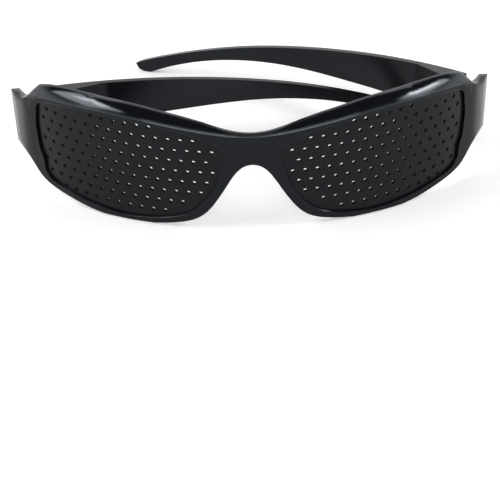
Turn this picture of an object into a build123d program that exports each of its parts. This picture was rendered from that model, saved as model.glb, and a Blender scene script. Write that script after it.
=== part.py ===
from build123d import *
import math
import os

os.makedirs("parts", exist_ok=True)

# Pinhole glasses: one wrapped front, two perforated lenses, two hinged temples
# and two hinge screws. All lengths are in millimetres, all angles in degrees.
# The front is drawn in its own upright frame: x to the wearer's left, y back
# towards the face, z up along the lenses, with z = 0 on the top row of holes.

# Plan curve of the lens surface, from the middle outwards: three tangent arcs
brow_radius = 112.0
cheek_radius = 82.0
side_radius = 53.0
brow_run = 30.0
cheek_run = 30.0
side_run = 24.4

# Front
front_height = 41.8
lip = 0.7              # rim in front of the lens surface
rim = 1.9              # rim behind the lens surface
ledge_depth = 3.8      # brow ledge behind the lens surface
crown_drop = 11.2      # saddle crown below the top row of holes
lean = 3.8             # forward lean of the front when it stands on a table
land_depth = 0.2       # flat lands under the rims
overrun = 5.0
end_out = 5.55         # wing end outside and behind the hinge pin
end_back = 4.5
end_turn = 18.6
end_lean = 4.0
corner_inward = 35.0   # the brow's end runs inwards and down as it goes back
corner_dip = 11.0

# Lenses
lens_thickness = 1.1
seat_width = 0.7       # step behind the opening on which a lens seats
lens_gap = 0.1
seat_gap = 0.05        # play between a lens and its seat
hole_diameter = 1.3

# Temples
temple_length = 125.0
temple_height = 22.3
temple_thickness = 2.2
temple_bow = 10.1
temple_offset = 4.3    # ends of the temple's centre line outside the hinge pin
root_length = 22.0     # thickened root, from the pin to where it fades out
root_flat = 7.0
root_thickness = 6.5
tongue_height = 4.6
tongue_thickness = 2.4
tongue_throat = 6.4
tongue_reach = 8.0
butt_gap = 0.2
open_angle = 83.0
left_angle = 32.1
right_angle = 7.1

# Hinges
hinge_inset = 2.24     # pin behind the lens surface
hinge_drop = 15.0
hinge_lean = 11.3      # the pin leans back against the lens rows
barrel_radius = 1.5
barrel_gap = 0.3
lug_height = 3.5
web_reach = 2.1        # lug webs from the pin into the wing
knuckle_gap = 0.2
screw_radius = 0.7
screw_clearance = 0.05
head_radius = 1.25
head_height = 0.7
slot_width = 0.35
slot_depth = 0.3

quarter = 90.0

# Sizes that follow
wrap_arcs = ((brow_radius, brow_run), (cheek_radius, cheek_run), (side_radius, side_run))
front_run = brow_run + cheek_run + side_run
screw_hole = screw_radius + screw_clearance
tongue_half = tongue_height / 2
lug_middle = tongue_half + knuckle_gap + lug_height / 2
pin_half = tongue_half + knuckle_gap + lug_height


def wrap(run, out):
    """Plan point at a run along the lens surface, moved outwards by out."""
    x, y, turn = 0.0, 0.0, 0.0
    left = run
    for number, (radius, length) in enumerate(wrap_arcs):
        last = number == len(wrap_arcs) - 1
        step = left if last else min(left, length)
        swing = step / radius
        x += radius * (math.sin(turn + swing) - math.sin(turn))
        y += radius * (math.cos(turn) - math.cos(turn + swing))
        turn += swing
        left -= step
    return x + out * math.sin(turn), y - out * math.cos(turn)


def facing(run):
    """Angle through which the lens surface has turned at a run, in radians."""
    ahead, behind = wrap(run, -lip), wrap(run, lip)
    return math.atan2(behind[0] - ahead[0], ahead[1] - behind[1])


# Frames of the front: plan is seen from above, view from in front
across = Vector(1, 0, 0)
up = Vector(0, -math.sin(math.radians(lean)), math.cos(math.radians(lean)))
back = Vector(0, math.cos(math.radians(lean)), math.sin(math.radians(lean)))
datum = up * crown_drop - back * ((rim - lip) / 2)
plan = Plane(origin=datum, x_dir=across, z_dir=up)
view = Plane(origin=datum, x_dir=across, z_dir=back * -1)

# Hinge pin of the wearer's left side; the right side is its mirror image
hinge_run_share = 0.9235
hinge_plan = wrap(hinge_run_share * front_run, -hinge_inset)
pin_spot = plan.from_local_coords(Vector(*hinge_plan, -hinge_drop))
pin_tilt = math.radians(hinge_lean - lean)
pin_up = Vector(0, math.sin(pin_tilt), math.cos(pin_tilt))
straight_back = Vector(0, math.cos(pin_tilt), -math.sin(pin_tilt))
opened = math.radians(open_angle)
along = straight_back * math.sin(opened) - across * math.cos(opened)
outward = across * math.sin(opened) + straight_back * math.cos(opened)
pin = Axis(pin_spot, pin_up)
# Open temple: top is its plan with x along it and y outwards, flank its side view
top = Plane(origin=pin_spot, x_dir=along, z_dir=pin_up * -1)
flank = Plane(origin=pin_spot, x_dir=along, z_dir=outward)

# End face of the wing, where the open temple butts
turned = math.radians(end_turn)
leant = math.radians(end_lean)
wing_end = Plane(
    origin=pin_spot + across * end_out + back * end_back,
    x_dir=across * math.cos(turned) - back * math.sin(turned),
    z_dir=(across * math.sin(turned) + back * math.cos(turned)) * math.cos(leant)
    - up * (math.cos(turned) * math.sin(leant)),
)

# Outlines of the front, as shares of the half wrap and of the front's height
opening_shares = (
    (0.814, -0.624), (0.801, -0.689), (0.759, -0.730), (0.691, -0.754), (0.618, -0.778),
    (0.539, -0.794), (0.473, -0.804), (0.391, -0.794), (0.307, -0.768), (0.249, -0.730),
    (0.195, -0.653), (0.156, -0.555), (0.127, -0.423), (0.109, -0.297), (0.098, -0.184),
    (0.109, -0.127), (0.140, -0.089), (0.213, -0.026), (0.300, 0.007), (0.372, 0.033),
    (0.444, 0.045), (0.521, 0.045), (0.592, 0.038), (0.669, 0.022), (0.744, -0.007),
    (0.793, -0.033), (0.825, -0.077), (0.836, -0.156), (0.844, -0.285), (0.840, -0.366),
    (0.833, -0.478),
)
under_shares = (
    (0.000, -0.268), (0.037, -0.294), (0.064, -0.356), (0.096, -0.470), (0.135, -0.607),
    (0.179, -0.718), (0.219, -0.769), (0.267, -0.799), (0.338, -0.825), (0.427, -0.844),
    (0.521, -0.844), (0.592, -0.833), (0.664, -0.811), (0.723, -0.789), (0.788, -0.765),
    (0.835, -0.734), (0.867, -0.690), (0.900, -0.641), (0.948, -0.604), (1.066, -0.569),
)
over_shares = (
    (0.000, -0.029), (0.077, -0.007), (0.166, 0.053), (0.261, 0.103), (0.403, 0.127),
    (0.590, 0.124), (0.706, 0.104), (0.755, 0.080), (0.790, 0.062), (0.830, 0.055),
    (0.900, 0.055), (1.066, 0.055),
)
crease_shares = (
    (0.000, -0.033), (0.107, -0.019), (0.178, 0.001), (0.237, 0.019), (0.308, 0.038),
    (0.379, 0.057), (0.456, 0.067), (0.533, 0.067), (0.616, 0.055), (0.703, 0.036),
    (0.782, 0.005), (0.829, -0.029), (0.877, -0.081), (0.924, -0.104),
)
# Roll of the brow above the crease: share of the height at the lip, then slope in degrees
roll_shares = ((0.0, 48.0), (0.0148, 30.0), (0.0419, 10.0))
# Corner where the brow runs down into the wing's top
corner_shares = (
    (0.798, 0.156), (0.822, 0.093), (0.843, 0.041), (0.866, -0.014), (0.886, -0.065),
    (0.903, -0.100), (0.922, -0.124), (0.955, -0.141), (0.986, -0.146), (1.066, -0.158),
)
ledge_shares = (
    (0.107, -0.086), (0.213, 0.007), (0.300, 0.041), (0.372, 0.065), (0.450, 0.077),
    (0.521, 0.077), (0.592, 0.069), (0.669, 0.053), (0.744, 0.024), (0.793, -0.002),
    (0.835, -0.062), (0.877, -0.144),
)
# Rear edge of the brow ledge: share of the half wrap, then of the ledge's depth
ledge_back_shares = (
    (0.142, 0.42), (0.261, 0.82), (0.391, 0.97), (0.557, 1.00), (0.711, 0.95),
    (0.794, 0.76), (0.865, 0.42),
)
ledge_root_share = 0.25
foot_share = 0.500
# Temple outline from the pin: share of the length, then of the height
temple_over_shares = (
    (0.030, 0.366), (0.300, 0.247), (0.500, 0.130), (0.700, -0.026), (0.848, -0.194),
    (0.990, -0.405),
)
temple_under_shares = (
    (0.030, -0.350), (0.112, -0.312), (0.240, -0.277), (0.400, -0.245), (0.600, -0.205),
    (0.700, -0.230), (0.800, -0.302), (0.900, -0.439), (0.968, -0.578),
)
temple_tip_shares = ((1.007, -0.445), (0.999, -0.535), (0.988, -0.568))
# Sight holes: first column and spacing along the wrap, spacing of the rows up the front
first_column_share = 0.1415
column_share = 0.04443
row_share = 0.08971
# Rows of holes from the top: first column, then the number of holes
hole_rows = (
    (5.0, 6), (1.5, 14), (0.0, 16), (0.5, 15), (0.0, 16), (0.5, 15), (1.0, 15), (2.5, 13),
    (4.0, 10),
)
# Direction of the lug webs, square to the wing, seen in the plan of the open temple
web_turn = facing(hinge_run_share * front_run)
web_way = across * math.sin(web_turn) - back * math.cos(web_turn)
web_angle = math.degrees(math.atan2(web_way.dot(outward), web_way.dot(along)))
# Table level under the rims, a little above the lowest line of the moulding
foot_height = min(height for run, height in under_shares) * front_height
foot = plan.from_local_coords(Vector(*wrap(foot_share * front_run, (lip - rim) / 2), foot_height))
stand_level = foot.Z + land_depth


def seen(shares):
    """Front view points on the lip for run and height shares."""
    return [(wrap(run * front_run, lip)[0], height * front_height) for run, height in shares]


def slanted(shares, lift, inward, rise):
    """Front view points of lip points brought forward along a slanted direction."""
    points = []
    for run, height in shares:
        x, y = wrap(run * front_run, lip)
        points.append((x + y * inward, (height + lift) * front_height - y * rise))
    return points


def band(outer, inner):
    """Plan face between two offsets of the lens surface, from the middle past the wing."""
    stops = (0.0, brow_run, brow_run + cheek_run, front_run + overrun)
    with BuildSketch(plan) as strip:
        with BuildLine():
            for out in (outer, inner):
                for start, end in zip(stops, stops[1:]):
                    ThreePointArc(wrap(start, out), wrap((start + end) / 2, out), wrap(end, out))
            for stop in (stops[0], stops[-1]):
                Line(wrap(stop, outer), wrap(stop, inner))
        make_face()
    return strip.sketch


def bowed(run, out):
    """Plan point of the temple at a run along its chord, moved outwards by out."""
    half = temple_length / 2
    radius = (half ** 2 + temple_bow ** 2) / (2 * temple_bow)
    turn = math.asin((run - half) / radius)
    middle = temple_offset + temple_bow - radius
    return half + (radius + out) * math.sin(turn), middle + (radius + out) * math.cos(turn)


def grown_opening(growth):
    """Front view points of a lens opening, each moved outwards by a growth."""
    points = [Vector(*point) for point in seen(opening_shares)]
    grown = []
    for before, point, after in zip(points[-1:] + points[:-1], points, points[1:] + points[:1]):
        grown.append(point + (after - before).normalized().rotate(Axis.Z, quarter) * growth)
    return grown


# Brow ledge: a deeper band behind the lip, above the lenses
with BuildPart() as ledge:
    with BuildSketch(plan):
        rear = [wrap(run * front_run, -depth * ledge_depth) for run, depth in ledge_back_shares]
        root = [wrap(run * front_run, -ledge_root_share * ledge_depth)
                for run, depth in ledge_back_shares]
        with BuildLine():
            Spline(rear)
            Spline(root)
            Line(rear[0], root[0])
            Line(rear[-1], root[-1])
        make_face()
    extrude(amount=front_height, both=True)
    with BuildSketch(view):
        underside = seen(ledge_shares)
        with BuildLine():
            Spline(underside)
            Polyline(underside[-1], (underside[-1][0], front_height),
                     (underside[0][0], front_height), underside[0])
        make_face()
    extrude(amount=front_run, both=True, mode=Mode.INTERSECT)

# Seat of a lens, open towards the back
with BuildPart() as pocket:
    add(band(0, -ledge_depth - overrun))
    extrude(amount=front_height, both=True, dir=up)
    with BuildSketch(view):
        with BuildLine():
            Spline(grown_opening(seat_width), periodic=True)
        make_face()
    extrude(amount=front_run, both=True, mode=Mode.INTERSECT)

# Left half of the front
with BuildPart() as front_half:
    add(band(lip, -rim))
    extrude(amount=front_height, both=True, dir=up)
    add(ledge.part)
    with BuildSketch(view):
        below = seen(under_shares)
        above = seen(over_shares)
        with BuildLine():
            Spline(below)
            Spline(above)
            Line(below[0], above[0])
            Line(below[-1], above[-1])
        make_face()
    extrude(amount=front_run, both=True, mode=Mode.INTERSECT)
    # Rolled top of the brow, then its corner down into the wing
    tops = [(crease_shares, lift, 0, slope) for lift, slope in roll_shares]
    tops.append((corner_shares, 0, corner_inward, -corner_dip))
    for shares, lift, turn_in, slope in tops:
        inward = math.tan(math.radians(turn_in))
        rise = math.tan(math.radians(slope))
        with BuildSketch(view):
            edge = slanted(shares, lift, inward, rise)
            with BuildLine():
                Spline(edge)
                Polyline(edge[-1], (edge[-1][0], front_height), (edge[0][0], front_height), edge[0])
            make_face()
        extrude(amount=front_run, both=True, dir=back - across * inward + up * rise,
                mode=Mode.SUBTRACT)
    with BuildSketch(view):
        with BuildLine():
            Spline(grown_opening(0), periodic=True)
        make_face()
    extrude(amount=front_run, both=True, mode=Mode.SUBTRACT)
    add(pocket.part, mode=Mode.SUBTRACT)
    split(bisect_by=wing_end, keep=Keep.BOTTOM)
    # Hinge: room for the temple's barrel, then two lugs with webs to the wing
    with BuildSketch(top.offset(-tongue_half - knuckle_gap)):
        Circle(barrel_radius + barrel_gap)
    extrude(amount=tongue_height + 2 * knuckle_gap, mode=Mode.SUBTRACT)
    for middle in (-lug_middle, lug_middle):
        with BuildSketch(top.offset(middle - lug_height / 2)):
            Circle(barrel_radius)
            Rectangle(web_reach, 2 * barrel_radius, rotation=web_angle, align=(Align.MIN, Align.CENTER))
        extrude(amount=lug_height)
    with BuildSketch(top.offset(-pin_half - head_height)):
        Circle(head_radius + barrel_gap)
    extrude(amount=head_height, mode=Mode.SUBTRACT)
    with BuildSketch(top):
        Circle(screw_hole)
    extrude(amount=pin_half, both=True, mode=Mode.SUBTRACT)
    # Flat land under the rim
    split(bisect_by=Plane(origin=(0, 0, stand_level)), keep=Keep.TOP)

with BuildPart() as front_frame:
    add(front_half.part)
    mirror(about=Plane.YZ)
front_frame.part.label = "front_frame"
export_step(front_frame.part, "parts/front_frame.step")

# Lenses: perforated sheets that seat from behind
hole_places = []
for row, (first, count) in enumerate(hole_rows):
    for column in range(count):
        run = (first_column_share + (first + column) * column_share) * front_run
        spot = plan.from_local_coords(Vector(*wrap(run, 0), -row * row_share * front_height))
        turn = facing(run)
        hole_places.append(Plane(origin=spot, z_dir=across * math.sin(turn) - back * math.cos(turn)))

with BuildPart() as lens_left:
    add(band(-seat_gap, -seat_gap - lens_thickness))
    extrude(amount=front_height, both=True, dir=up)
    with BuildSketch(view):
        with BuildLine():
            Spline(grown_opening(seat_width - lens_gap), periodic=True)
        make_face()
    extrude(amount=front_run, both=True, mode=Mode.INTERSECT)
    with Locations(*hole_places):
        Cylinder(hole_diameter / 2, 2 * overrun, mode=Mode.SUBTRACT)
lens_left.part.label = "lens_left"
export_step(lens_left.part, "parts/lens_left.step")

with BuildPart() as lens_right:
    mirror(lens_left.part, about=Plane.YZ)
lens_right.part.label = "lens_right"
export_step(lens_right.part, "parts/lens_right.step")

# Left temple drawn open, in the frame of its hinge pin
outer = temple_thickness / 2
fade = bowed(root_length, -outer)
inner_corner = (root_flat, bowed(root_flat, outer)[1] - root_thickness)
gusset = ((fade[0] + inner_corner[0]) / 2, (fade[1] + inner_corner[1]) / 2)

with BuildPart() as open_temple:
    with BuildSketch(top):
        with BuildLine():
            for out in (outer, -outer):
                ThreePointArc(bowed(0, out), bowed(temple_length / 2, out),
                              bowed(temple_length + overrun, out))
            Line(bowed(0, outer), bowed(0, -outer))
            Line(bowed(temple_length + overrun, outer), bowed(temple_length + overrun, -outer))
        make_face()
        with BuildLine():
            Polyline(fade, inner_corner, (0, inner_corner[1]), bowed(0, 0),
                     bowed(root_length / 2, 0), close=True)
        make_face()
    extrude(amount=temple_length, both=True)
    with BuildSketch(flank):
        above = [(run * temple_length, height * temple_height) for run, height in temple_over_shares]
        below = [(run * temple_length, height * temple_height) for run, height in temple_under_shares]
        tip = [(run * temple_length, height * temple_height) for run, height in temple_tip_shares]
        with BuildLine():
            Spline(above)
            Spline(below)
            Polyline(above[-1], *tip, below[-1])
            Line(above[0], below[0])
        make_face()
    extrude(amount=temple_length, both=True, mode=Mode.INTERSECT)
    split(bisect_by=wing_end.offset(butt_gap), keep=Keep.TOP)
    # Barrel round the pin, with its tongue into the temple's root
    with BuildSketch(top.offset(-tongue_half)):
        Circle(barrel_radius)
        with BuildLine():
            Polyline((0, -tongue_thickness / 2), (tongue_reach, -tongue_thickness / 2), gusset,
                     bowed(tongue_reach, 0), (tongue_throat, tongue_thickness / 2),
                     (0, tongue_thickness / 2), close=True)
        make_face()
    extrude(amount=tongue_height)
    with BuildSketch(top):
        Circle(screw_hole)
    extrude(amount=tongue_half, both=True, mode=Mode.SUBTRACT)

with BuildPart() as temple_left:
    add(open_temple.part.rotate(pin, open_angle - left_angle))
temple_left.part.label = "temple_left"
export_step(temple_left.part, "parts/temple_left.step")

with BuildPart() as temple_right:
    mirror(open_temple.part.rotate(pin, open_angle - right_angle), about=Plane.YZ)
temple_right.part.label = "temple_right"
export_step(temple_right.part, "parts/temple_right.step")

# Hinge screws: a slotted head on the upper lug and a plain shank to the lower lug's foot
with BuildPart() as hinge_screw_left:
    with BuildSketch(top.offset(-pin_half)):
        Circle(screw_radius)
    extrude(amount=2 * pin_half)
    with BuildSketch(top.offset(-pin_half)):
        Circle(head_radius)
    extrude(amount=-head_height)
    with BuildSketch(top.offset(-pin_half - head_height)):
        Rectangle(2 * head_radius + slot_width, slot_width)
    extrude(amount=slot_depth, mode=Mode.SUBTRACT)
hinge_screw_left.part.label = "hinge_screw_left"
export_step(hinge_screw_left.part, "parts/hinge_screw_left.step")

with BuildPart() as hinge_screw_right:
    mirror(hinge_screw_left.part, about=Plane.YZ)
hinge_screw_right.part.label = "hinge_screw_right"
export_step(hinge_screw_right.part, "parts/hinge_screw_right.step")
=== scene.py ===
import logging
import math
from dataclasses import dataclass
from enum import Enum

import bpy
from mathutils import Matrix, Vector


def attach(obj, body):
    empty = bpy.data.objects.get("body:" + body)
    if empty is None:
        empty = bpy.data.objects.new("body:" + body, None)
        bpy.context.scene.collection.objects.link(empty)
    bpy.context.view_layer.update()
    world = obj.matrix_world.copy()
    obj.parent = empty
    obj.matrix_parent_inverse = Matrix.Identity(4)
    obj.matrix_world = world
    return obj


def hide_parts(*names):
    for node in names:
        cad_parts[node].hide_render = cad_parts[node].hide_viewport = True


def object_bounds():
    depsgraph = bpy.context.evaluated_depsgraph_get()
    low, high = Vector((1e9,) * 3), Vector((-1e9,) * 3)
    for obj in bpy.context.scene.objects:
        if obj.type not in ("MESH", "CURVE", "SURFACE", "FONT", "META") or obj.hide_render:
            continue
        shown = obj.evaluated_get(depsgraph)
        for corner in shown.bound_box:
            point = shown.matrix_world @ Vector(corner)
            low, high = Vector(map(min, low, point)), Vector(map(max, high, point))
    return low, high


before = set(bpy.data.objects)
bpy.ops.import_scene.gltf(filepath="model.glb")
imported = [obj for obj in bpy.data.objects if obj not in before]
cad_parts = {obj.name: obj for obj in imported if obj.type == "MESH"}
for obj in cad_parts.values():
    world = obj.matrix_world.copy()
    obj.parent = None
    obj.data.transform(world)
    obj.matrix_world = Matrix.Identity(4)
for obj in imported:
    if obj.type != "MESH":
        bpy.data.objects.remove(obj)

CAD_BOX = [list(corner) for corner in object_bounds()]

# The lenses' plan curve from the middle outwards: radius and run of each arc, in metres
WRAP_ARCS = ((0.112, 0.030), (0.082, 0.030), (0.053, 0.040))

# Vertices of a solid that lie closer than this are one, in metres
JOIN_WITHIN = 2e-6

# Upward share of a face's direction at which it stops being upright, and is upturned
UPRIGHT_UPTURNED = (0.12, 0.50)

# Distances from the middle of the glasses in metres, between which the front's edge softening
# grows, its reflection is painted dull beside the lenses as painted shade, and it is painted
# bright at the wings' outer ends as a painted highlight
WINGS_ROUND_OFF = (0.0685, 0.0720)
CHEEK_PAINTED_SHADE_SPAN = (0.058, 0.066)
WING_PAINTED_HIGHLIGHT_SPAN = (0.0690, 0.0728)

# Strength of the reflection on the cheeks beside the lenses, dulled as painted shade, and its
# gain at the wings' outer ends, a painted highlight
CHEEK_PAINTED_SHADE_SHARE = 0.4
WING_PAINTED_HIGHLIGHT_GAIN = 6.5

# Rays that feel for each softened edge
EDGE_SAMPLES = 6

WHITE = (1.0, 1.0, 1.0, 1.0)

logging.basicConfig(level=logging.INFO, format="%(message)s")
log = logging.getLogger("pinhole_glasses")


class Side(Enum):
    """The wearer's left and right sides."""

    LEFT = "left"
    RIGHT = "right"

    @property
    def word(self) -> str:
        """Name of the side as the parts use it."""
        return self.value


def only(obj: bpy.types.Object) -> bpy.types.Object:
    """Select one object alone and make it active.

    Args:
        obj: The object to work on.

    Returns:
        The same object.
    """
    bpy.ops.object.select_all(action="DESELECT")
    obj.select_set(True)
    bpy.context.view_layer.objects.active = obj
    return obj


def settle(obj: bpy.types.Object) -> None:
    """Put a finished piece's place into its mesh, with its object at the origin."""
    only(obj)
    bpy.ops.object.transform_apply(location=True, rotation=True, scale=True)


def merged_copy(node: str, name: str) -> bpy.types.Object:
    """Copy a solid of the frame, with its loose triangles joined.

    Args:
        node: Name of the frame's solid.
        name: Name of the new piece.

    Returns:
        The copy, with a mesh of its own at the solid's place.
    """
    only(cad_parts[node])
    bpy.ops.object.duplicate(linked=False)
    piece = bpy.context.view_layer.objects.active
    world = piece.matrix_world.copy()
    piece.parent = None
    piece.matrix_world = world
    piece.name = name
    piece.data.name = name
    settle(piece)
    bpy.ops.object.mode_set(mode="EDIT")
    bpy.ops.mesh.select_all(action="SELECT")
    bpy.ops.mesh.remove_doubles(threshold=JOIN_WITHIN)
    bpy.ops.mesh.customdata_custom_splitnormals_clear()
    bpy.ops.object.mode_set(mode="OBJECT")
    piece.data.materials.clear()
    return piece


@dataclass(frozen=True)
class NodeBoard:
    """A node tree with short ways to add its nodes.

    Attributes:
        tree: The material's or world's node tree.
    """

    tree: bpy.types.NodeTree

    def feed(self, target: bpy.types.NodeSocket,
             source: "bpy.types.NodeSocket | float | tuple[float, ...]") -> None:
        """Give a socket a value, or what another socket says.

        Args:
            target: The socket to feed.
            source: A number, a colour or the other socket.
        """
        if isinstance(source, bpy.types.NodeSocket):
            self.tree.links.new(source, target)
        else:
            target.default_value = source

    def place(self, output: str) -> bpy.types.NodeSocket:
        """Read one of the texture coordinates.

        Args:
            output: Which of them.

        Returns:
            Its socket.
        """
        return self.tree.nodes.new("ShaderNodeTexCoord").outputs[output]

    def share(self, vector: bpy.types.NodeSocket, axis: str) -> bpy.types.NodeSocket:
        """Take one part of a vector.

        Args:
            vector: The vector's socket.
            axis: X, Y or Z.

        Returns:
            The part's socket.
        """
        split = self.tree.nodes.new("ShaderNodeSeparateXYZ")
        self.feed(split.inputs["Vector"], vector)
        return split.outputs[axis]

    def reckon(self, operation: str,
               *values: "bpy.types.NodeSocket | float") -> bpy.types.NodeSocket:
        """Work out one sum.

        Args:
            operation: The kind of sum.
            *values: Its one or two values.

        Returns:
            The result's socket.
        """
        node = self.tree.nodes.new("ShaderNodeMath")
        node.operation = operation
        for target, value in zip(node.inputs, values):
            self.feed(target, value)
        return node.outputs["Value"]

    def scale(self, value: bpy.types.NodeSocket, limits: tuple[float, float],
              levels: "tuple[bpy.types.NodeSocket | float, float]") -> bpy.types.NodeSocket:
        """Turn a value between two limits into one between two levels.

        Args:
            value: The value's socket.
            limits: The two limits.
            levels: The levels at the first and at the second limit.

        Returns:
            The result's socket.
        """
        node = self.tree.nodes.new("ShaderNodeMapRange")
        self.feed(node.inputs["Value"], value)
        for name, source in zip(("From Min", "From Max", "To Min", "To Max"), (*limits, *levels)):
            self.feed(node.inputs[name], source)
        return node.outputs["Result"]

    def noise(self, scale: float, detail: float) -> bpy.types.NodeSocket:
        """Add a cloudy pattern that stays with the piece.

        Args:
            scale: Clouds to a metre.
            detail: Its finer levels.

        Returns:
            The pattern's socket.
        """
        node = self.tree.nodes.new("ShaderNodeTexNoise")
        node.inputs["Scale"].default_value = scale
        node.inputs["Detail"].default_value = detail
        self.feed(node.inputs["Vector"], self.place("Object"))
        return node.outputs["Fac"]

    def shown_rays(self) -> bpy.types.NodeSocket:
        """Tell the rays that show the background: straight, mirrored or through glass.

        Returns:
            A socket that is 1 on such a ray and 0 on any other.
        """
        rays = self.tree.nodes.new("ShaderNodeLightPath").outputs
        mirrored = self.reckon("MAXIMUM", rays["Is Camera Ray"], rays["Is Glossy Ray"])
        return self.reckon("MAXIMUM", mirrored, rays["Is Transmission Ray"])


@dataclass(frozen=True)
class Tones:
    """Two close tones and two degrees of roughness that a finish wanders between.

    Attributes:
        deep: The deeper tone.
        pale: The paler tone.
        rough: Roughness with the deeper and with the paler tone.
    """

    deep: tuple[float, float, float]
    pale: tuple[float, float, float]
    rough: tuple[float, float]

    def paint(self, board: NodeBoard, shader: bpy.types.Node,
              pattern: bpy.types.NodeSocket) -> None:
        """Let a shader's colour and roughness follow a pattern.

        Args:
            board: The material's nodes.
            shader: The material's shader.
            pattern: The pattern's socket.
        """
        tone = board.tree.nodes.new("ShaderNodeMix")
        tone.data_type = "RGBA"
        board.feed(tone.inputs[0], pattern)
        board.feed(tone.inputs[6], (*self.deep, 1.0))
        board.feed(tone.inputs[7], (*self.pale, 1.0))
        board.feed(shader.inputs["Base Color"], tone.outputs[2])
        board.feed(shader.inputs["Roughness"], board.scale(pattern, (0.0, 1.0), self.rough))


@dataclass(frozen=True)
class MouldedPlastic:
    """Black injection-moulded plastic with flow ripples under its gloss.

    Attributes:
        name: Name of the material.
        tones: Its tones and roughness.
        ripple: Height of the moulding ripple in metres.
        ripple_scale: Ripples to a metre.
        specular: Strength of the clear reflection on upright and on upturned faces; the change
            between them is painted by facing.
        edge: Radius of the softened edges in metres.
        turn: Radius to which the softening grows at the wings, in metres.
        roll: Radius of the softening on upturned faces, in metres.
        sheen_colour: Tint of the clear reflection.
        cloud_scale: Clouds of the tones to a metre.
        cloud_detail: Finer levels of those clouds.
        ripple_detail: Finer levels of the ripples.
    """

    name: str
    tones: Tones
    ripple: float
    ripple_scale: float
    specular: tuple[float, float]
    edge: float = 0.0003
    turn: float = 0.0
    roll: float = 0.0
    sheen_colour: tuple[float, float, float, float] = (0.84, 0.92, 1.0, 1.0)
    cloud_scale: float = 45.0
    cloud_detail: float = 4.0
    ripple_detail: float = 1.0

    def material(self) -> bpy.types.Material:
        """Build the node material, or find it when it exists.

        Returns:
            The material.
        """
        if self.name in bpy.data.materials:
            return bpy.data.materials[self.name]
        made = bpy.data.materials.new(self.name)
        made.use_nodes = True
        board = NodeBoard(made.node_tree)
        shader = made.node_tree.nodes["Principled BSDF"]
        upturn = board.share(board.place("Normal"), "Z")
        radius, upright = self.edge, self.specular[0]
        # Only where the softening grows at the wings is the upright faces' reflection painted:
        # painted shade beside the lenses, a painted highlight at the wings' outer ends.
        if self.turn:
            aside = board.reckon("ABSOLUTE", board.share(board.place("Object"), "X"))
            radius = self.grown_radius(board, aside, upturn)
            upright = self.painted_cheek_shade_and_wing_highlight(board, aside)
        # The constant is what an export keeps that drops the linked level.
        shader.inputs["Specular IOR Level"].default_value = sum(self.specular) / 2.0
        # The clear reflection's strength is painted by facing, from its upright to its upturned
        # level; where the upturned level is higher, as on the front and the lenses, it is a
        # painted sheen on the tops.
        board.feed(shader.inputs["Specular IOR Level"],
                   board.scale(upturn, UPRIGHT_UPTURNED, (upright, self.specular[1])))
        board.feed(shader.inputs["Specular Tint"], self.sheen_colour)
        self.tones.paint(board, shader, board.noise(self.cloud_scale, self.cloud_detail))
        board.feed(shader.inputs["Normal"], self.surface(board, radius))
        return made

    def surface(self, board: NodeBoard,
                radius: "bpy.types.NodeSocket | float") -> bpy.types.NodeSocket:
        """Soften the edges and ripple the surface.

        Args:
            board: The material's nodes.
            radius: Radius of the softened edges.

        Returns:
            The surface's direction.
        """
        soft = board.tree.nodes.new("ShaderNodeBevel")
        soft.samples = EDGE_SAMPLES
        board.feed(soft.inputs["Radius"], radius)
        bump = board.tree.nodes.new("ShaderNodeBump")
        bump.inputs["Strength"].default_value = 1.0
        bump.inputs["Distance"].default_value = self.ripple
        board.feed(bump.inputs["Height"], board.noise(self.ripple_scale, self.ripple_detail))
        board.feed(bump.inputs["Normal"], soft.outputs["Normal"])
        return bump.outputs["Normal"]

    def grown_radius(self, board: NodeBoard, aside: bpy.types.NodeSocket,
                     upturn: bpy.types.NodeSocket) -> bpy.types.NodeSocket:
        """Let the edge softening grow on upturned faces and towards the wings' outer ends.

        Args:
            board: The material's nodes.
            aside: Distance from the middle of the glasses.
            upturn: Upward share of the surface's direction.

        Returns:
            The radius.
        """
        sideways = board.scale(aside, WINGS_ROUND_OFF, (self.edge, self.turn))
        rolled = board.scale(upturn, UPRIGHT_UPTURNED, (self.edge, self.roll))
        return board.reckon("MAXIMUM", sideways, rolled)

    def painted_cheek_shade_and_wing_highlight(self, board: NodeBoard, aside: bpy.types.NodeSocket) -> bpy.types.NodeSocket:
        """Paint shade on the upright faces beside the lenses by dulling their reflection, and
        paint a highlight on the wings' outer ends by brightening it.

        Args:
            board: The material's nodes.
            aside: Distance from the middle of the glasses.

        Returns:
            Strength of the clear reflection on upright faces, with its painted shade and painted
            highlight.
        """
        upright = self.specular[0]
        cheek_shade = board.scale(aside, CHEEK_PAINTED_SHADE_SPAN, (upright, upright * CHEEK_PAINTED_SHADE_SHARE))
        wing_highlight = board.scale(aside, WING_PAINTED_HIGHLIGHT_SPAN, (1.0, WING_PAINTED_HIGHLIGHT_GAIN))
        return board.reckon("MULTIPLY", cheek_shade, wing_highlight)


@dataclass(frozen=True)
class ScrewSteel:
    """Small turned steel screw, bright with fine turning marks.

    Attributes:
        name: Name of the material.
        tones: Its tones and roughness.
        marks: Turning marks to a metre.
        mark_detail: Finer levels of those marks.
    """

    name: str
    tones: Tones
    marks: float
    mark_detail: float = 3.0

    def material(self) -> bpy.types.Material:
        """Build the node material, or find it when it exists.

        Returns:
            The material.
        """
        if self.name in bpy.data.materials:
            return bpy.data.materials[self.name]
        made = bpy.data.materials.new(self.name)
        made.use_nodes = True
        board = NodeBoard(made.node_tree)
        shader = made.node_tree.nodes["Principled BSDF"]
        shader.inputs["Metallic"].default_value = 1.0
        self.tones.paint(board, shader, board.noise(self.marks, self.mark_detail))
        return made


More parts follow.
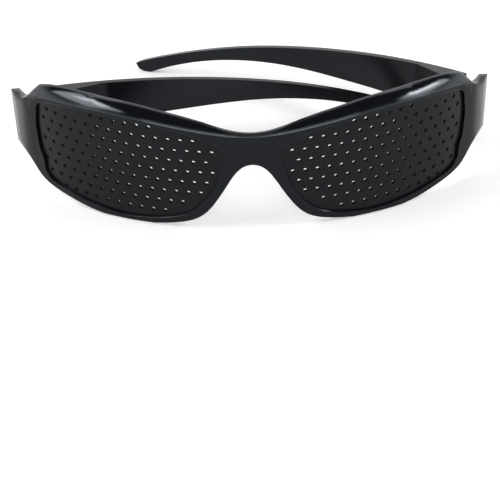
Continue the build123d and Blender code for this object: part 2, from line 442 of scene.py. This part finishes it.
FRAME_BLACK = MouldedPlastic(
    name="frame_gloss_black",
    tones=Tones((0.0016, 0.0020, 0.0030), (0.0030, 0.0036, 0.0050), rough=(0.05, 0.11)),
    ripple=0.00001, ripple_scale=55.0, specular=(0.18, 0.73), edge=0.00035,
    turn=0.0040, roll=0.0016)
TEMPLE_BLACK = MouldedPlastic(
    name="temple_gloss_black",
    tones=Tones((0.0020, 0.0024, 0.0034), (0.0044, 0.0050, 0.0066), rough=(0.16, 0.26)),
    ripple=0.00003, ripple_scale=40.0, specular=(0.25, 0.20), edge=0.0004)
LENS_BLACK = MouldedPlastic(
    name="lens_sheet_black",
    tones=Tones((0.0030, 0.0033, 0.0040), (0.0058, 0.0062, 0.0072), rough=(0.26, 0.36)),
    ripple=0.00001, ripple_scale=120.0, specular=(0.14, 0.40), edge=0.0003)
# A darker, duller copy of the lens plastic for the hole walls: painted shade in the holes.
HOLE_WALL_PAINTED_SHADE = MouldedPlastic(
    name="sight_hole_painted_shade",
    tones=Tones((0.0010, 0.0011, 0.0013), (0.0020, 0.0021, 0.0024), rough=(0.45, 0.60)),
    ripple=0.000005, ripple_scale=400.0, specular=(0.06, 0.12), edge=0.0001)
HINGE_STEEL = ScrewSteel(
    name="hinge_screw_steel",
    tones=Tones((0.42, 0.42, 0.43), (0.60, 0.60, 0.61), rough=(0.22, 0.38)), marks=900.0)


def dressed_copy(node: str, name: str, finish: MouldedPlastic | ScrewSteel,
                 smooth_angle: float) -> bpy.types.Object:
    """Copy a solid of the frame, shade it smooth and give it its finish.

    Args:
        node: Name of the frame's solid.
        name: Name of the new piece.
        finish: Its finish.
        smooth_angle: Edges flatter than this are shaded smooth, in degrees.

    Returns:
        The dressed copy.
    """
    piece = only(merged_copy(node, name))
    bpy.ops.object.shade_smooth_by_angle(angle=math.radians(smooth_angle))
    piece.data.materials.append(finish.material())
    return piece


@dataclass
class FrontFrame:
    """The wrapped front: brow ledge, rims, nose bridge, wings and hinge lugs.

    Attributes:
        smooth_angle: Edges flatter than this are shaded smooth, in degrees.
    """

    smooth_angle: float = 28.0

    def build(self) -> bpy.types.Object:
        """Dress the front and let it ride on its body.

        Returns:
            The dressed front.
        """
        shell = dressed_copy("front_frame", "front_shell", FRAME_BLACK, self.smooth_angle)
        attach(shell, "front")
        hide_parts("front_frame")
        return shell


@dataclass
class PinholeLens:
    """One perforated lens sheet.

    Attributes:
        side: Side of the wearer that the lens is on.
        smooth_angle: Edges flatter than this are shaded smooth, in degrees.
        bore_share: Faces turned less than this towards the lens's front line a hole and take its
            painted shade.
    """

    side: Side
    smooth_angle: float = 30.0
    bore_share: float = 0.6

    @staticmethod
    def sheet_turn(aside: float) -> float:
        """Angle through which the sheet has turned sideways at a distance from the middle.

        Args:
            aside: Distance from the middle along X, in metres.

        Returns:
            The angle in radians, with the distance's sign.
        """
        turn, start = 0.0, 0.0
        for radius, run in WRAP_ARCS:
            reach = radius * (math.sin(turn + run / radius) - math.sin(turn))
            if abs(aside) <= start + reach:
                break
            start += reach
            turn += run / radius
        sine = math.sin(turn) + (abs(aside) - start) / radius
        return math.copysign(math.asin(min(sine, 1.0)), aside)

    def paint_hole_shade(self, sheet: bpy.types.Object) -> None:
        """Paint shade into the sight holes by giving their walls a darker, duller copy of the
        lens plastic.

        Args:
            sheet: The lens sheet.
        """
        sheet.data.materials.append(HOLE_WALL_PAINTED_SHADE.material())
        for face in sheet.data.polygons:
            turn = self.sheet_turn(face.center.x)
            axis = Vector((math.sin(turn), -math.cos(turn), 0.0))
            # Hole walls take the second material, the painted shade.
            face.material_index = int(abs(face.normal.dot(axis)) < self.bore_share)

    def build(self) -> bpy.types.Object:
        """Dress the sheet and let it ride on the front.

        Returns:
            The dressed sheet.
        """
        node = f"lens_{self.side.word}"
        sheet = dressed_copy(node, f"lens_sheet_{self.side.word}", LENS_BLACK, self.smooth_angle)
        self.paint_hole_shade(sheet)
        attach(sheet, "front")
        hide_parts(node)
        return sheet


@dataclass
class Temple:
    """One bowed, tapering temple.

    Attributes:
        side: Side of the wearer that the temple is on.
        smooth_angle: Edges flatter than this are shaded smooth, in degrees.
    """

    side: Side
    smooth_angle: float = 30.0

    def build(self) -> bpy.types.Object:
        """Dress the temple and let it ride on its own arm.

        Returns:
            The dressed temple.
        """
        node = f"temple_{self.side.word}"
        arm = dressed_copy(node, f"temple_arm_{self.side.word}", TEMPLE_BLACK, self.smooth_angle)
        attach(arm, f"{self.side.word}_arm")
        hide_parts(node)
        return arm


@dataclass
class HingeScrew:
    """One slotted hinge screw.

    Attributes:
        side: Side of the wearer that the screw is on.
        smooth_angle: Edges flatter than this are shaded smooth, in degrees.
    """

    side: Side
    smooth_angle: float = 30.0

    def build(self) -> bpy.types.Object:
        """Dress the screw and let it ride on the front.

        Returns:
            The dressed screw.
        """
        node = f"hinge_screw_{self.side.word}"
        pin = dressed_copy(node, f"screw_{self.side.word}", HINGE_STEEL, self.smooth_angle)
        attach(pin, "front")
        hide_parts(node)
        return pin


@dataclass(frozen=True)
class Softbox:
    """A soft rectangular lamp.

    Attributes:
        name: Name of the lamp.
        place: Where it stands, in metres.
        target: What it points at, in metres.
        size: Its width and height in metres.
        power: Its power in watts.
    """

    name: str
    place: tuple[float, float, float]
    target: tuple[float, float, float]
    size: tuple[float, float]
    power: float

    def hang(self) -> None:
        """Add the lamp to the scene."""
        lamp = bpy.data.lights.new(self.name, "AREA")
        lamp.shape = "RECTANGLE"
        lamp.size, lamp.size_y = self.size
        lamp.energy = self.power
        holder = bpy.data.objects.new(self.name, lamp)
        bpy.context.scene.collection.objects.link(holder)
        holder.location = self.place
        aim = Vector(self.target) - Vector(self.place)
        holder.rotation_euler = aim.to_track_quat("-Z", "Y").to_euler()


@dataclass
class Studio:
    """White table, soft lamps and the camera at the photograph's angle.

    Attributes:
        eye: The camera's place in metres.
        sight: Direction of the picture's centre.
        rightward: Direction to the picture's right.
        focal: Focal length in millimetres.
        sensor: Width of the camera's sensor in millimetres.
        nearest: Distance from which the camera sees, in metres.
        table_size: Length of the table's sides in metres.
        table_white: Colour of the table.
        table_rough: Roughness of the table.
        table_gloss: Strength of the table's clear reflection.
        table_lift: Whiteness added to the table where it is seen.
        horizon: Level of the room's white walls.
        ceiling: Level of its dim ceiling.
        walls_end: Upward share of the direction at which walls end and ceiling begins.
        lamps: The lamps.
    """

    eye: tuple[float, float, float] = (-0.0034, -0.50725, 0.32189)
    sight: tuple[float, float, float] = (0.00318, 0.82191, -0.57259)
    rightward: tuple[float, float, float] = (0.9993, -0.0205, -0.0238)
    focal: float = 146.3
    sensor: float = 36.0
    nearest: float = 0.01
    table_size: float = 8.0
    table_white: tuple[float, float, float, float] = (0.92, 0.92, 0.92, 1.0)
    table_rough: float = 0.7
    table_gloss: float = 0.1
    table_lift: float = 0.28
    horizon: float = 1.12
    ceiling: float = 0.06
    walls_end: tuple[float, float] = (0.30, 0.60)
    lamps: tuple[Softbox, ...] = (
        Softbox("left_softbox", (-0.61, 0.0, 0.60), (-0.61, 0.0, 0.0), (0.50, 0.60), 3.3),
        Softbox("left_core", (-0.46, 0.0, 0.599), (-0.46, 0.0, 0.0), (0.14, 0.34), 0.85),
        Softbox("right_softbox", (0.85, 0.0, 0.60), (0.85, 0.0, 0.0), (0.50, 0.60), 3.75),
        Softbox("right_core", (0.69, 0.0, 0.599), (0.69, 0.0, 0.0), (0.14, 0.34), 1.9),
        Softbox("front_fill", (0.0, -1.1, 0.55), (0.0, 0.0, 0.0), (1.2, 0.5), 6.5),
        Softbox("back_strip", (0.0, 0.75, 0.95), (0.0, 0.0, 0.0), (1.0, 0.25), 1.5),
    )

    def paper(self) -> bpy.types.Material:
        """Build the table's white paper, lifted to white where it is seen.

        Returns:
            The material.
        """
        made = bpy.data.materials.new("white_table_paper")
        made.use_nodes = True
        board = NodeBoard(made.node_tree)
        shader = made.node_tree.nodes["Principled BSDF"]
        shader.inputs["Roughness"].default_value = self.table_rough
        shader.inputs["Specular IOR Level"].default_value = self.table_gloss
        shader.inputs["Base Color"].default_value = self.table_white
        shader.inputs["Emission Color"].default_value = WHITE
        lift = board.reckon("MULTIPLY", board.shown_rays(), self.table_lift)
        board.feed(shader.inputs["Emission Strength"], lift)
        return made

    def table(self, level: float) -> None:
        """Add the white table.

        Args:
            level: Height of its top.
        """
        bpy.ops.object.select_all(action="DESELECT")
        bpy.ops.mesh.primitive_plane_add(size=self.table_size, location=(0.0, 0.0, level))
        top = bpy.context.view_layer.objects.active
        top.name = "white_table"
        settle(top)
        top.data.materials.append(self.paper())

    def surround(self) -> None:
        """Surround the table with white walls under a dim ceiling."""
        world = bpy.data.worlds.new("studio_room")
        bpy.context.scene.world = world
        world.use_nodes = True
        board = NodeBoard(world.node_tree)
        back = world.node_tree.nodes["Background"]
        upward = board.share(board.place("Generated"), "Z")
        board.feed(back.inputs["Strength"],
                   board.scale(upward, self.walls_end, (self.horizon, self.ceiling)))
        back.inputs["Color"].default_value = WHITE

    def camera(self) -> None:
        """Add the camera at the photograph's angle."""
        lens = bpy.data.cameras.new("photo_camera")
        lens.sensor_width = self.sensor
        lens.lens = self.focal
        lens.clip_start = self.nearest
        holder = bpy.data.objects.new("photo_camera", lens)
        bpy.context.scene.collection.objects.link(holder)
        ahead = Vector(self.sight).normalized()
        right = Vector(self.rightward)
        right = (right - ahead * right.dot(ahead)).normalized()
        upward = right.cross(ahead)
        turn = Matrix((right, upward, -ahead)).transposed()
        holder.matrix_world = Matrix.Translation(Vector(self.eye)) @ turn.to_4x4()
        bpy.context.scene.camera = holder

    def build(self, level: float) -> None:
        """Set up the table, the light and the camera.

        Args:
            level: Height of the table's top.
        """
        self.table(level)
        for lamp in self.lamps:
            lamp.hang()
        self.surround()
        self.camera()
        bpy.context.scene.view_settings.view_transform = "Standard"


def main() -> None:
    """Build the glasses piece by piece, then the studio round them."""
    pieces = [FrontFrame().build()]
    for side in Side:
        pieces.append(PinholeLens(side).build())
        pieces.append(Temple(side).build())
        pieces.append(HingeScrew(side).build())
    for piece in pieces:
        log.info("%s: %d faces", piece.name, len(piece.data.polygons))
    Studio().build(CAD_BOX[0][2])


if __name__ == "__main__":
    main()
